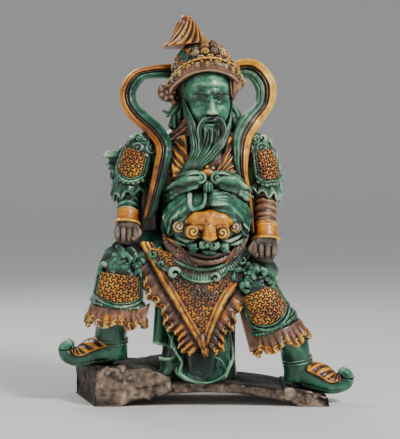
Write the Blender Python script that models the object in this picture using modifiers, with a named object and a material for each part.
"""Roof ridge figure: an armoured guardian standing astride a curved ridge tile, fired as one piece."""

import math

import bmesh
import bpy
import numpy as np
from mathutils import Vector

# Sizes in metres. The tile's sizes are its own; the figure follows its height.
FIGURE_HEIGHT = 0.640  # from the tile's crown to the top of the tassel
TILE_LEFT = -0.192  # the tile's ends at the front, from the middle of the figure
TILE_RIGHT = 0.214
TILE_FLARE = 0.046  # how much further the left end reaches at the back
TILE_DEPTH = 0.150
TILE_CROWN = 0.043  # height of the tile's top over its bed
TILE_ROUND = 0.690  # radius of the tile's top
HOLLOW_MIDDLE = 0.005
HOLLOW_SPAN = 0.310  # of the arch under the tile
HOLLOW_RISE = 0.024

# The figure is drawn in millimetres on a tile whose crown is 43 mm above its bed.
DRAWN_CROWN = 43.0
DRAWN_HEIGHT = 640.0
UNIT = FIGURE_HEIGHT / DRAWN_HEIGHT

# The forms are fused into one skin of fine cells, and this share of its facets is kept.
SKIN_GRAIN = 0.0022
FACET_SHARE = 0.0195

GLAZES = {
    "green_glaze": ((0.03, 0.24, 0.12), 0.22),
    "amber_glaze": ((0.62, 0.28, 0.04), 0.25),
    "bare_clay": ((0.20, 0.14, 0.11), 0.90),
}


def at(x, y, z):
    """A point drawn in millimetres, in metres and standing on the tile's crown."""
    return Vector((x * UNIT, y * UNIT, (z - DRAWN_CROWN) * UNIT + TILE_CROWN))


def clear_scene():
    for thing in list(bpy.data.objects):
        bpy.data.objects.remove(thing, do_unlink=True)


def new_collection(name, hidden=False):
    collection = bpy.data.collections.new(name)
    collection.hide_render = hidden
    bpy.context.scene.collection.children.link(collection)
    return collection


def glaze(name):
    material = bpy.data.materials.get(name)
    if material is None:
        colour, roughness = GLAZES[name]
        material = bpy.data.materials.new(name)
        material.use_nodes = True
        shader = material.node_tree.nodes["Principled BSDF"]
        shader.inputs["Base Color"].default_value = (*colour, 1.0)
        shader.inputs["Roughness"].default_value = roughness
        shader.inputs["Metallic"].default_value = 0.0
    return material


def add_form(name, mesh, material):
    """One shape of the carving. All forms are fused in the end, so they stay out of the render."""
    mesh.materials.append(glaze(material))
    form = bpy.data.objects.new(name, mesh)
    form.display_type = "WIRE"
    form.hide_render = True
    FORMS.objects.link(form)
    return form


def mesh_of(name, shape):
    """The mesh of a bmesh, with its faces turned outwards."""
    bmesh.ops.recalc_face_normals(shape, faces=shape.faces)
    mesh = bpy.data.meshes.new(name)
    shape.to_mesh(mesh)
    shape.free()
    return mesh


def eased(rows, steps):
    """Rows of numbers, each column eased through its values as a Catmull-Rom curve."""
    rows = np.array(rows, float)
    ends = np.vstack([2 * rows[0] - rows[1], rows, 2 * rows[-1] - rows[-2]])
    eased_rows = []
    for before, here, there, after in zip(ends, ends[1:], ends[2:], ends[3:]):
        for step in range(steps):
            t = step / steps
            eased_rows.append(
                0.5 * (2 * here + (there - before) * t
                       + (2 * before - 5 * here + 4 * there - after) * t**2
                       + (3 * here - before - 3 * there + after) * t**3)
            )
    eased_rows.append(rows[-1])
    return np.array(eased_rows)


def bridge(name, rings, poles, material):
    """A closed shape: rings of points joined one to the next, and each end drawn to a pole."""
    shape = bmesh.new()
    loops = [[shape.verts.new(point) for point in ring] for ring in rings]
    sides = len(loops[0])
    for lower, upper in zip(loops, loops[1:]):
        for i in range(sides):
            j = (i + 1) % sides
            shape.faces.new((lower[i], lower[j], upper[j], upper[i]))
    for loop, pole in ((loops[0], poles[0]), (loops[-1], poles[1])):
        tip = shape.verts.new(pole)
        for i in range(sides):
            shape.faces.new((loop[i], loop[(i + 1) % sides], tip))
    return add_form(name, mesh_of(name, shape), material)


def limb(name, stations, material, sides=12, steps=3, across=(1, 0, 0), dome=0.35, square=1.0):
    """A loft along stations of x, y, z, half width and half depth. Its width lies along across."""
    rows = eased(stations, steps)
    centres, sizes = rows[:, :3], np.maximum(rows[:, 3:], 0.5)
    heading = np.gradient(centres, axis=0)
    heading /= np.linalg.norm(heading, axis=1)[:, None]
    width = np.array(across, float) - heading * (heading @ np.array(across, float))[:, None]
    width /= np.linalg.norm(width, axis=1)[:, None]
    depth = np.cross(heading, width)
    turn = np.linspace(0, 2 * math.pi, sides, endpoint=False)
    cosine = np.sign(np.cos(turn)) * np.abs(np.cos(turn)) ** square
    sine = np.sign(np.sin(turn)) * np.abs(np.sin(turn)) ** square
    rings = [
        [at(*(c + w * a * size[0] + d * b * size[1])) for a, b in zip(cosine, sine)]
        for c, w, d, size in zip(centres, width, depth, sizes)
    ]
    bulge = dome * sizes.min(axis=1)
    poles = (at(*(centres[0] - heading[0] * bulge[0])), at(*(centres[-1] + heading[-1] * bulge[-1])))
    return bridge(name, rings, poles, material)


def strap(name, edges, material, sides=14, steps=3):
    """A band between an outer and an inner edge, drawn as x, z, x, z, y and half depth."""
    rows = eased(edges, steps)
    turn = np.linspace(0, 2 * math.pi, sides, endpoint=False)
    rings = []
    for outer_x, outer_z, inner_x, inner_z, y, depth in rows:
        rings.append([
            at((outer_x + inner_x) / 2 + (outer_x - inner_x) / 2 * math.cos(a),
               y + depth * math.sin(a),
               (outer_z + inner_z) / 2 + (outer_z - inner_z) / 2 * math.cos(a))
            for a in turn
        ])
    poles = [sum(ring, Vector()) / sides for ring in (rings[0], rings[-1])]
    return bridge(name, rings, poles, material)


def ball(name, centre, radii, material, segments=12, rings=8, lean=0.0):
    """A ball drawn out to three radii and leaning sideways by an angle in degrees."""
    shape = bmesh.new()
    bmesh.ops.create_uvsphere(shape, u_segments=segments, v_segments=rings, radius=1.0)
    mesh = mesh_of(name, shape)
    form = add_form(name, mesh, material)
    form.rotation_euler = (0, math.radians(lean), 0)
    form.location = at(*centre)
    for vertex in mesh.vertices:
        vertex.co = Vector(vertex.co) * Vector(radii) * UNIT
    return form


def sheet(name, place, columns, rows, thickness, material):
    """A grid laid out by place(u, v), with u across and v down, given a thickness."""
    shape = bmesh.new()
    bmesh.ops.create_grid(shape, x_segments=columns, y_segments=rows, size=0.5)
    for vertex in shape.verts:
        vertex.co = at(*place(vertex.co.x + 0.5, vertex.co.y + 0.5))
    form = add_form(name, mesh_of(name, shape), material)
    wall = form.modifiers.new("wall", "SOLIDIFY")
    wall.thickness = thickness * UNIT
    wall.offset = 0.0
    return form


def turned(name, profile, foot, lean, material, steps=12):
    """A profile of radius and height, top to bottom, turned about an axis that leans sideways."""
    mesh = bpy.data.meshes.new(name)
    points = [(radius * UNIT, 0.0, height * UNIT) for radius, height in profile]
    mesh.from_pydata(points, [(i, i + 1) for i in range(len(points) - 1)], [])
    form = add_form(name, mesh, material)
    form.location = at(*foot)
    form.rotation_euler = (0, math.radians(lean), 0)
    screw = form.modifiers.new("turn", "SCREW")
    screw.steps = screw.render_steps = steps
    screw.use_merge_vertices = True
    screw.merge_threshold = 0.00005
    return form


def mix(a, b, t):
    return a + (b - a) * t


def frill(name, edge, drop, material, waves, depth=6.0, columns=28, thickness=7.0, dive=6.0):
    """A ruffle hung from a line of points. It widens into waves and its hem rises and falls."""
    line = eased(edge, 6)
    run = np.linspace(0, 1, len(line))

    def place(u, v):
        x, y, z = (np.interp(u, run, line[:, axis]) for axis in range(3))
        fall = v * (1 + 0.16 * math.cos(2 * math.pi * waves * u * 2))
        wave = depth * v * math.sin(2 * math.pi * waves * u)
        return x + drop[0] * fall, y + drop[1] * fall + wave - dive * v, z + drop[2] * fall

    return sheet(name, place, columns, 2, thickness, material)


def build_tile(collection):
    """A slab that bends over the ridge: trimmed round above, and cut hollow between its two feet."""
    bpy.ops.mesh.primitive_cube_add(size=1.0)
    tile = bpy.context.object
    tile.name = tile.data.name = "ridge_figure"
    for vertex in tile.data.vertices:
        flare = TILE_FLARE if vertex.co.x < 0 < vertex.co.y else 0.0
        vertex.co = Vector((TILE_LEFT - flare if vertex.co.x < 0 else TILE_RIGHT,
                            vertex.co.y * TILE_DEPTH, (vertex.co.z + 0.5) * TILE_CROWN * 1.2))
    hollow_radius = (HOLLOW_SPAN**2 / 4 + HOLLOW_RISE**2) / (2 * HOLLOW_RISE)
    for name, radius, middle, top, operation in (
        ("round_over_tile", TILE_ROUND, 0.0, TILE_CROWN, "INTERSECT"),
        ("hollow_under_tile", hollow_radius, HOLLOW_MIDDLE, HOLLOW_RISE, "DIFFERENCE"),
    ):
        bpy.ops.mesh.primitive_cylinder_add(vertices=144, radius=radius, depth=2 * TILE_DEPTH)
        cutter = bpy.context.object
        cutter.name = name
        cutter.rotation_euler = (math.pi / 2, 0, 0)
        cutter.location = (middle, 0, top - radius)
        cutter.display_type = "WIRE"
        cutter.hide_render = True
        move_to(cutter, CUTTERS)
        cut = tile.modifiers.new(name, "BOOLEAN")
        cut.operation = operation
        cut.object = cutter
        cut.solver = "EXACT"
    tile.data.materials.append(glaze("bare_clay"))
    move_to(tile, collection)
    return tile


def move_to(thing, collection):
    for home in list(thing.users_collection):
        home.objects.unlink(thing)
    collection.objects.link(thing)


def build_pads():
    """Lumps of clay that raise each foot from the curved tile to its own level."""
    half = TILE_DEPTH / UNIT / 2 - 3
    slab("left_pad", half, (-186, -236, -84, 68, 66), (-186, -236, -54, 6, 30))
    slab("right_pad", half, (137, 137, 212, 33, 17), (134, 134, 210, 9, 6))
    limb("clay_mound", [(-150, 30, 52, 42, 16), (-100, 30, 56, 42, 22), (-50, 28, 56, 42, 30)],
         "bare_clay", across=(0, 1, 0))
    for i, (x, z, r) in enumerate(((-168, 62, 13), (-148, 60, 15), (-122, 62, 13), (-102, 58, 10))):
        ball(f"clay_lump_{i}", (x, -64, z), (r, r * 1.1, r * 0.8), "bare_clay", 12, 8)


def slab(name, half, top, low):
    """A block given by left front, left back, right, and its height at the left and at the right."""
    shape = bmesh.new()
    bmesh.ops.create_cube(shape, size=2.0)
    for vertex in shape.verts:
        left_front, left_back, right, left_z, right_z = top if vertex.co.z > 0 else low
        left = left_front if vertex.co.y < 0 else left_back
        x, z = (left, left_z) if vertex.co.x < 0 else (right, right_z)
        vertex.co = at(x, vertex.co.y * half, z)
    add_form(name, mesh_of(name, shape), "bare_clay")


def build_robe():
    """The solid skirt of cloth between the legs that carries the figure, and its hanging front."""
    limb("robe_core", [
        (0, 8, 262, 62, 44), (-6, 8, 190, 60, 40), (-12, 10, 130, 62, 38), (-12, 10, 85, 64, 42),
        (-12, 8, 36, 70, 54),
    ], "green_glaze", sides=20, dome=0.0)

    def cloth(u, v):
        left = np.interp(v, (0, 0.35, 0.62, 0.85, 1), (-78, -70, -58, -52, -26))
        right = np.interp(v, (0, 0.5, 0.72, 0.9, 1), (44, 44, 48, 38, 14))
        rim = (2 * u - 1) ** 2
        cup = max(0.0, (v - 0.45) / 0.55)
        y = -42 - 30 * cup * rim - 26 * max(0.0, (v - 0.8) / 0.2) * (1 - rim)
        return mix(left, right, u), y - 6 * math.sin(5.2 * math.pi * u + 2.0 * v) * (1 - cup), mix(196, 33, v)

    sheet("hanging_cloth", cloth, 24, 14, 11.0, "green_glaze")
    limb("cloth_root", [(-8, -30, 110, 40, 20), (-8, -34, 70, 40, 24), (-6, -34, 34, 34, 30)],
         "green_glaze", sides=16)

    def tail(u, v):
        x = mix(-86, -52, u) - 6 * v
        return x, -40 - 6 * math.sin(2 * math.pi * u), mix(188, 106, v) - 10 * u * v

    sheet("cloth_tail", tail, 5, 4, 10.0, "green_glaze")


def build_legs():
    """Thighs, skirts of mail over the knees, ruffled hems, shins and boots with turned-up toes."""
    limb("left_thigh", [(-48, 4, 268, 40, 42), (-98, -16, 262, 40, 42), (-146, -34, 244, 38, 40)],
         "green_glaze", across=(0, 0, 1))
    limb("right_thigh", [(44, 4, 266, 38, 42), (72, -16, 246, 38, 42), (96, -30, 214, 36, 38)],
         "green_glaze", across=(0, 0, 1))
    limb("left_mail_skirt", [
        (-140, -38, 272, 24, 28), (-144, -40, 258, 34, 38), (-149, -42, 228, 40, 43),
        (-152, -42, 196, 43, 45), (-155, -42, 172, 45, 46),
    ], "amber_glaze", sides=24, dome=0.3)
    limb("right_mail_skirt", [
        (74, -34, 250, 24, 28), (79, -38, 230, 30, 36), (91, -42, 198, 34, 41),
        (106, -44, 166, 38, 43), (121, -44, 134, 42, 45),
    ], "amber_glaze", sides=24, dome=0.3)
    limb("left_fold", [(-176, -52, 240, 8, 10), (-150, -66, 250, 13, 14), (-118, -58, 248, 9, 12)],
         "green_glaze", across=(0, 0, 1), dome=0.6)
    limb("right_fold", [(54, -52, 232, 8, 10), (84, -62, 234, 15, 14), (112, -56, 216, 9, 12)],
         "green_glaze", across=(0, 0, 1), dome=0.6)
    for side, centre, tilt, radii in (
        ("left", (-156, -42, 168), -3.0, (45, 47)), ("right", (124, -44, 130), 19.0, (43, 46)),
    ):
        ruffle(f"{side}_ruffle", centre, radii, tilt)
    limb("left_shin", [(-160, -34, 180, 30, 32), (-168, -28, 132, 29, 28), (-170, -24, 92, 30, 27)],
         "green_glaze", sides=16, dome=0.0)
    limb("right_shin", [(134, -36, 138, 28, 30), (157, -28, 96, 27, 27), (166, -24, 54, 26, 26)],
         "green_glaze", sides=16, dome=0.0)
    boot("left_boot", [
        (-142, -22, 94, 18, 22), (-166, -24, 92, 25, 26), (-196, -28, 88, 22, 25),
        (-222, -32, 80, 15, 21), (-241, -35, 84, 13, 17), (-246, -36, 97, 12, 15),
        (-238, -36, 106, 9, 12),
    ])
    boot("right_boot", [
        (148, -22, 53, 20, 22), (170, -24, 50, 26, 26), (198, -28, 42, 23, 25),
        (222, -32, 33, 16, 21), (241, -35, 36, 13, 17), (247, -36, 47, 12, 15),
        (238, -36, 56, 9, 12),
    ])


def boot(name, stations):
    limb(name, stations, "green_glaze", sides=20, steps=4, across=(0, 0, 1), dome=0.6, square=0.85)


def ruffle(name, centre, radii, tilt, waves=9, columns=48, drop=34.0):
    """A frilled hem round the bottom of a mail skirt, open at the back where the leg joins it."""
    lean = math.radians(tilt)

    def place(u, v):
        turn = math.radians(mix(-200, 20, u))
        swell = 1 + 0.14 * v + 0.09 * v * math.sin(2 * math.pi * waves * u)
        x = radii[0] * math.cos(turn) * swell
        y = radii[1] * math.sin(turn) * swell
        z = 6 - drop * v * (1 + 0.12 * math.cos(4 * math.pi * waves * u + 1.0))
        return (
            centre[0] + x * math.cos(lean) - z * math.sin(lean),
            centre[1] + y,
            centre[2] + x * math.sin(lean) + z * math.cos(lean),
        )

    return sheet(name, place, columns, 2, 9.0, "amber_glaze")


def build_apron():
    """The pointed apron of mail over the robe: a panel, two raised bands and a ruffle outside each."""
    left_top, right_top, tip = np.array((-104, -58, 278)), np.array((68, -60, 238)), np.array((-6, -74, 112))

    def panel(u, v):
        left, right = mix(left_top, tip, 0.94 * v), mix(right_top, tip, 0.94 * v)
        x, y, z = mix(left, right, u)
        return x, y - 12 * math.sin(math.pi * u) * (1 - v), z

    sheet("apron_panel", panel, 6, 6, 16.0, "amber_glaze")
    limb("apron_left_band", [(-106, -62, 282, 7, 6), (-58, -74, 199, 8, 8), (-6, -80, 110, 6, 7)],
         "amber_glaze", sides=10)
    limb("apron_right_band", [(70, -64, 240, 7, 6), (26, -76, 184, 8, 8), (-4, -80, 110, 6, 7)],
         "amber_glaze", sides=10)
    frill("apron_left_ruffle", [(-112, -56, 276), (-70, -64, 203), (-34, -70, 146), (-8, -74, 106)],
          (-22, 0, -18), "amber_glaze", waves=5)
    frill("apron_right_ruffle", [(74, -58, 232), (44, -66, 190), (16, -72, 146), (-2, -74, 106)],
          (20, 0, -18), "amber_glaze", waves=4, columns=24)


def build_torso():
    """The body in one loft, the breast, the scarf at the neck and the shoulder pieces."""
    limb("torso", [
        (-2, 10, 232, 58, 44), (-3, 6, 262, 78, 56), (-3, 2, 310, 82, 60), (-4, 2, 360, 80, 58),
        (-6, 4, 404, 82, 54), (-6, 6, 440, 86, 50), (-6, 6, 462, 78, 44), (-4, 0, 484, 46, 38),
        (0, -6, 508, 34, 36),
    ], "amber_glaze", sides=24, dome=0.2)
    limb("breast", [(-34, -40, 412, 26, 18), (-4, -48, 418, 34, 22), (30, -40, 414, 26, 18)],
         "amber_glaze", sides=10, across=(0, 0, 1), dome=0.6)
    limb("scarf_left", [(-50, -30, 470, 14, 12), (-40, -50, 430, 18, 12), (-8, -60, 404, 14, 12)],
         "amber_glaze", sides=8, dome=0.4)
    limb("scarf_right", [(48, -30, 470, 14, 12), (40, -50, 432, 18, 12), (12, -60, 404, 14, 12)],
         "amber_glaze", sides=8, dome=0.4)
    limb("left_drape", [(-92, 6, 440, 22, 26), (-98, 2, 370, 24, 28), (-104, 4, 300, 30, 28)],
         "green_glaze", dome=0.4)
    limb("right_drape", [(78, 6, 440, 20, 26), (84, 0, 370, 20, 32), (84, 2, 296, 26, 30)],
         "green_glaze", dome=0.4)
    ball("left_shoulder", (-108, -6, 445), (34, 38, 34), "green_glaze", 20, 14)
    ball("right_shoulder", (88, -6, 445), (30, 38, 34), "green_glaze", 20, 14)


def build_belly():
    """The round belly plate with its beast mask, the sash above it and the scalloped collar below."""
    ball("belly", (-1, -34, 316), (79, 62, 64), "green_glaze", 32, 22)
    limb("mask_brow", [(-46, -74, 336, 10, 10), (-20, -92, 340, 15, 12), (4, -96, 338, 18, 14),
                       (28, -92, 338, 15, 12), (50, -74, 332, 10, 10)],
         "amber_glaze", sides=8, across=(0, 0, 1), dome=0.6)
    limb("mask_nose", [(4, -92, 346, 18, 10), (4, -100, 318, 16, 11), (4, -102, 296, 17, 11)],
         "amber_glaze", sides=8, dome=0.7)
    for i, (x, y, z, r) in enumerate(((-20, -90, 303, 14), (25, -90, 303, 14),
                                      (-46, -76, 314, 11), (49, -74, 312, 11))):
        ball(f"mask_curl_{i}", (x, y, z), (r, r * 0.8, r), "amber_glaze", 10, 6)
    ball("mask_snout", (5, -86, 279), (26, 18, 13), "green_glaze", 10, 6)
    ball("mask_jaw", (4, -78, 262), (30, 16, 10), "green_glaze", 10, 6)
    for side, x in (("left", -24), ("right", 34)):
        ball(f"sash_{side}_knot", (x, -74, 387), (30, 22, 15), "green_glaze", 18, 12)
    ball("sash_left_end", (-56, -64, 376), (20, 18, 13), "green_glaze", 10, 6)
    ball("sash_right_end", (62, -58, 382), (16, 18, 12), "green_glaze", 10, 6)

    def leaf(u, v):
        x = mix(-80, 80, u)
        rise = math.sin(math.pi * u)
        y = -36 - 52 * rise**0.7 - 7 * v + 4 * math.cos(10 * math.pi * u) * v
        return x, y, 352 + 18 * rise - 26 * v + 16 * v * rise**3

    sheet("sash_pleats", leaf, 26, 3, 10.0, "green_glaze")

    def collar(u, v):
        turn = math.radians(mix(200, 340, u))
        reach = mix(0.96, 1.16, v) + 0.05 * v * math.cos(12 * math.pi * u)
        x = -10 + 80 * reach * math.cos(turn)
        y = -56 - 16 * math.sin(math.pi * u) - 4 * v
        return x, y, 308 + 74 * reach * math.sin(turn)

    sheet("scalloped_collar", collar, 28, 2, 13.0, "green_glaze")


def build_arms():
    """Flared sleeves of mail with frilled hems, forearms, cuffs and fists resting on the thighs."""
    for side, out, sleeve, fore, cuff, fist, wing_line in (
        ("left", -1,
         [(-110, -4, 456, 28, 30), (-121, -8, 424, 30, 31), (-133, -12, 384, 30, 32)],
         [(-132, -10, 396, 20, 21), (-137, -22, 356, 19, 20), (-138, -42, 322, 17, 18)],
         [(-136, -34, 346, 18, 19), (-137, -42, 328, 20, 21), (-138, -47, 318, 22, 22)],
         [(-138, -46, 318, 17, 17), (-137, -56, 298, 22, 20), (-134, -60, 280, 17, 15)],
         [(138, 446, 4), (148, 430, 28), (154, 412, 18), (160, 392, 8), (162, 374, 4)]),
        ("right", 1,
         [(90, -4, 456, 26, 30), (95, -8, 424, 26, 31), (102, -12, 384, 27, 31)],
         [(102, -10, 396, 20, 21), (104, -22, 350, 20, 20), (102, -42, 314, 18, 18)],
         [(104, -32, 336, 20, 20), (104, -42, 318, 21, 22), (103, -48, 306, 23, 22)],
         [(103, -46, 306, 17, 17), (98, -58, 284, 25, 21), (92, -62, 268, 20, 17)],
         [(114, 446, 3), (119, 428, 7), (124, 408, 6), (128, 388, 7), (129, 370, 5)]),
    ):
        limb(f"{side}_sleeve", sleeve, "green_glaze", sides=20, dome=0.4)
        limb(f"{side}_forearm", fore, "amber_glaze", sides=14, dome=0.2)
        limb(f"{side}_cuff", cuff, "amber_glaze", sides=14, dome=0.0)
        limb(f"{side}_fist", fist, "bare_clay", sides=14, dome=0.6, square=0.8)
        sleeve_hem(side, out, sleeve[-1])
        sleeve_wing(side, out, eased(wing_line, 6))


def sleeve_hem(side, out, rim):
    """The frilled hem of a sleeve, lower at the outside than at the inside."""
    x, y, z, width, depth = rim

    def place(u, v):
        turn = math.radians(mix(-230, 50, u))
        reach = 0.84 + 0.24 * v + 0.06 * v * math.sin(16 * math.pi * u)
        fall = 24 + 8 * out * math.cos(turn)
        height = 4 - fall * v * (1 + 0.18 * math.cos(16 * math.pi * u + 0.8))
        return x + width * reach * math.cos(turn), y + depth * reach * math.sin(turn), z + height

    sheet(f"{side}_sleeve_hem", place, 36, 2, 8.0, "green_glaze")


def sleeve_wing(side, out, line):
    """The frilled edge that stands out from a sleeve, given by its foot, its height and its reach."""
    run = np.linspace(0, 1, len(line))

    def place(u, v):
        foot, height, reach = (np.interp(u, run, line[:, axis]) for axis in range(3))
        flare = reach * v * (1 + 0.3 * math.cos(8 * math.pi * u))
        return out * (foot - 8 * (1 - v) + flare), 2 + 5 * math.sin(6 * math.pi * u) * v, height + 6 * v

    sheet(f"{side}_sleeve_wing", place, 16, 2, 9.0, "green_glaze")


def build_head():
    """The head turned a little to the right, with a long beard swept to the left."""
    limb("head", [
        (9, -44, 462, 22, 24), (6, -40, 480, 34, 36), (3, -36, 506, 40, 46), (1, -32, 536, 43, 50),
        (0, -26, 568, 45, 50), (-1, -18, 596, 42, 46),
    ], "green_glaze", sides=20, dome=0.4)
    limb("nose", [(11, -82, 542, 5, 5), (13, -90, 523, 7, 8), (13, -87, 512, 9, 7)],
         "green_glaze", sides=10, dome=0.6)
    limb("brow_left", [(-24, -70, 546, 4, 5), (-8, -80, 549, 5, 5), (6, -82, 544, 4, 5)],
         "green_glaze", sides=8, across=(0, 0, 1), dome=0.6)
    limb("brow_right", [(18, -82, 544, 4, 5), (29, -77, 549, 5, 5), (38, -66, 546, 4, 5)],
         "green_glaze", sides=8, across=(0, 0, 1), dome=0.6)
    ball("left_eye", (-8, -76, 534), (10, 7, 5), "green_glaze", 12, 8)
    ball("right_eye", (28, -73, 534), (9, 7, 5), "green_glaze", 12, 8)
    ball("left_cheek", (-14, -68, 514), (14, 12, 12), "green_glaze", 12, 8)
    ball("right_cheek", (30, -66, 514), (10, 11, 12), "green_glaze", 12, 8)
    limb("lips", [(0, -80, 493, 4, 5), (11, -86, 494, 6, 6), (22, -80, 493, 4, 5)],
         "green_glaze", sides=8, across=(0, 0, 1), dome=0.6)
    limb("beard", [
        (8, -56, 482, 38, 22), (6, -62, 462, 35, 18), (-4, -66, 440, 28, 15), (-20, -70, 420, 20, 12),
        (-38, -72, 404, 11, 8), (-48, -72, 396, 5, 5),
    ], "green_glaze", sides=16, dome=0.4)
    limb("moustache_left", [(6, -86, 502, 4, 4), (-9, -80, 490, 5, 5), (-13, -76, 464, 4, 4)],
         "green_glaze", sides=8, dome=0.5)
    limb("moustache_right", [(18, -84, 502, 4, 4), (30, -78, 488, 5, 5), (32, -72, 464, 4, 4)],
         "green_glaze", sides=8, dome=0.5)
    limb("left_side_lock", [(-40, -22, 536, 6, 10), (-42, -30, 500, 7, 10), (-38, -42, 464, 5, 8)],
         "green_glaze", sides=8, dome=0.4)
    limb("right_side_lock", [(42, -22, 536, 6, 10), (46, -28, 502, 9, 10), (46, -40, 466, 6, 8)],
         "green_glaze", sides=8, dome=0.4)


def build_helmet():
    """The crested helmet: a dome, a beaded brow band, ear guards, a neck guard and a fluted tassel."""
    ball("helmet_dome", (-3, -8, 569), (59, 60, 66), "amber_glaze", 32, 20, lean=-6.0)
    limb("brow_band", [
        (-60, -22, 548, 9, 8), (-50, -50, 572, 10, 8), (-22, -72, 590, 12, 8), (8, -76, 596, 14, 8),
        (36, -62, 588, 12, 8), (54, -36, 566, 10, 8), (58, -16, 546, 8, 7),
    ], "amber_glaze", sides=8, across=(0, 0, 1), dome=0.4)
    limb("left_ear_guard", [(-58, -22, 560, 12, 9), (-60, -24, 540, 14, 8), (-56, -26, 528, 9, 6)],
         "amber_glaze", sides=8, across=(0, 1, 0), dome=0.6)
    limb("right_ear_guard", [(54, -16, 572, 14, 8), (54, -18, 556, 14, 8), (48, -20, 540, 7, 6)],
         "amber_glaze", sides=8, across=(0, 1, 0), dome=0.6)
    ball("left_rosette", (-68, -24, 546), (17, 14, 17), "amber_glaze", 10, 8)
    limb("neck_guard", [(-3, 26, 566, 52, 20), (-2, 30, 530, 42, 18), (-2, 30, 498, 46, 18),
                        (-4, 26, 462, 66, 20)], "green_glaze", sides=16, dome=0.2)
    limb("right_wing", [(40, 0, 524, 6, 12), (50, -2, 508, 10, 14), (54, 0, 486, 12, 14)],
         "green_glaze", sides=10, dome=0.5)
    limb("left_wing", [(-42, 0, 524, 6, 12), (-50, -2, 508, 8, 12), (-54, 0, 486, 12, 14)],
         "green_glaze", sides=10, dome=0.5)
    limb("left_cord", [(-46, -8, 536, 5, 5), (-56, -10, 522, 5, 5), (-70, -10, 512, 4, 4)],
         "green_glaze", sides=8, dome=0.5)
    ball("crest", (8, -30, 618), (22, 20, 14), "amber_glaze", 14, 10)
    limb("tassel_stalk", [(-14, -2, 606, 15, 15), (-24, 0, 626, 13, 13), (-32, 2, 646, 14, 14)],
         "amber_glaze", sides=10, dome=0.0)
    turned("tassel", [(0, 51), (7, 50), (12, 46), (14, 38), (20, 25), (29, 11), (40, 0), (37, -5),
                      (22, 2), (0, 4)], (-33, 2, 632), 0.0, "amber_glaze", steps=24)


def build_ribbons():
    """The long scarf: from behind each ear it loops out, crosses the shoulder and hangs to the waist."""
    strap("left_ribbon", [
        (-40, 592, -40, 566, 26, 12), (-61, 598, -61, 570, 22, 13), (-100, 594, -96, 571, 16, 14),
        (-132, 583, -112, 565, 10, 15), (-151, 555, -123, 547, 6, 15), (-151, 526, -121, 528, 2, 15),
        (-134, 497, -101, 508, -8, 14), (-105, 472, -75, 484, -28, 13), (-87, 447, -59, 452, -48, 13),
        (-91, 412, -64, 412, -58, 12), (-98, 374, -76, 371, -60, 11), (-105, 343, -86, 340, -56, 10),
        (-109, 324, -98, 322, -52, 8),
    ], "green_glaze")
    strap("right_ribbon", [
        (28, 590, 30, 564, 26, 12), (39, 598, 46, 568, 22, 13), (71, 607, 71, 571, 16, 14),
        (100, 598, 82, 562, 10, 15), (123, 565, 88, 546, 6, 16), (121, 526, 84, 523, 2, 16),
        (99, 490, 62, 503, -10, 15), (82, 465, 49, 476, -30, 14), (75, 440, 45, 447, -48, 13),
        (72, 405, 50, 405, -58, 12), (77, 371, 62, 367, -62, 11), (81, 333, 70, 333, -62, 10),
        (84, 300, 76, 300, -58, 8),
    ], "green_glaze")
    limb("ribbon_bridge", [(-52, 28, 582, 13, 12), (0, 40, 586, 14, 14), (44, 28, 582, 13, 12)],
         "green_glaze", sides=8, across=(0, 0, 1))


def fuse(tile, core):
    """Joins every form to the core, smooths the joins as wet clay, and joins the figure to the tile."""
    move_to(core, CUTTERS)
    union = core.modifiers.new("fuse", "BOOLEAN")
    union.operation = "UNION"
    union.operand_type = "COLLECTION"
    union.collection = FORMS
    union.solver = "EXACT"
    clay = core.modifiers.new("one_skin", "REMESH")
    clay.mode = "VOXEL"
    clay.voxel_size = SKIN_GRAIN
    facets = core.modifiers.new("facets", "DECIMATE")
    facets.ratio = FACET_SHARE
    join = tile.modifiers.new("figure", "BOOLEAN")
    join.operation = "UNION"
    join.object = core
    join.solver = "EXACT"


def stand_on_origin(figure):
    """Moves all the shapes so that the origin is under the middle of the figure, on its bed."""
    bpy.context.view_layer.update()
    fused = figure.evaluated_get(bpy.context.evaluated_depsgraph_get())
    corners = np.array([fused.matrix_world @ Vector(corner) for corner in fused.bound_box])
    low, high = corners.min(axis=0), corners.max(axis=0)
    shift = Vector((-(low[0] + high[0]) / 2, -(low[1] + high[1]) / 2, -low[2]))
    for thing in [figure, *FORMS.objects, *CUTTERS.objects]:
        thing.location += shift
    print("drawn origin moved by", tuple(round(value * 1000, 2) for value in shift), "mm")


clear_scene()
PIECES = new_collection("roof_ridge_figure")
FORMS = new_collection("forms", hidden=True)
CUTTERS = new_collection("cutters", hidden=True)

ridge_figure = build_tile(PIECES)
build_pads()
build_robe()
build_legs()
build_apron()
build_torso()
build_belly()
build_arms()
build_head()
build_helmet()
build_ribbons()
fuse(ridge_figure, bpy.data.objects["robe_core"])
stand_on_origin(ridge_figure)
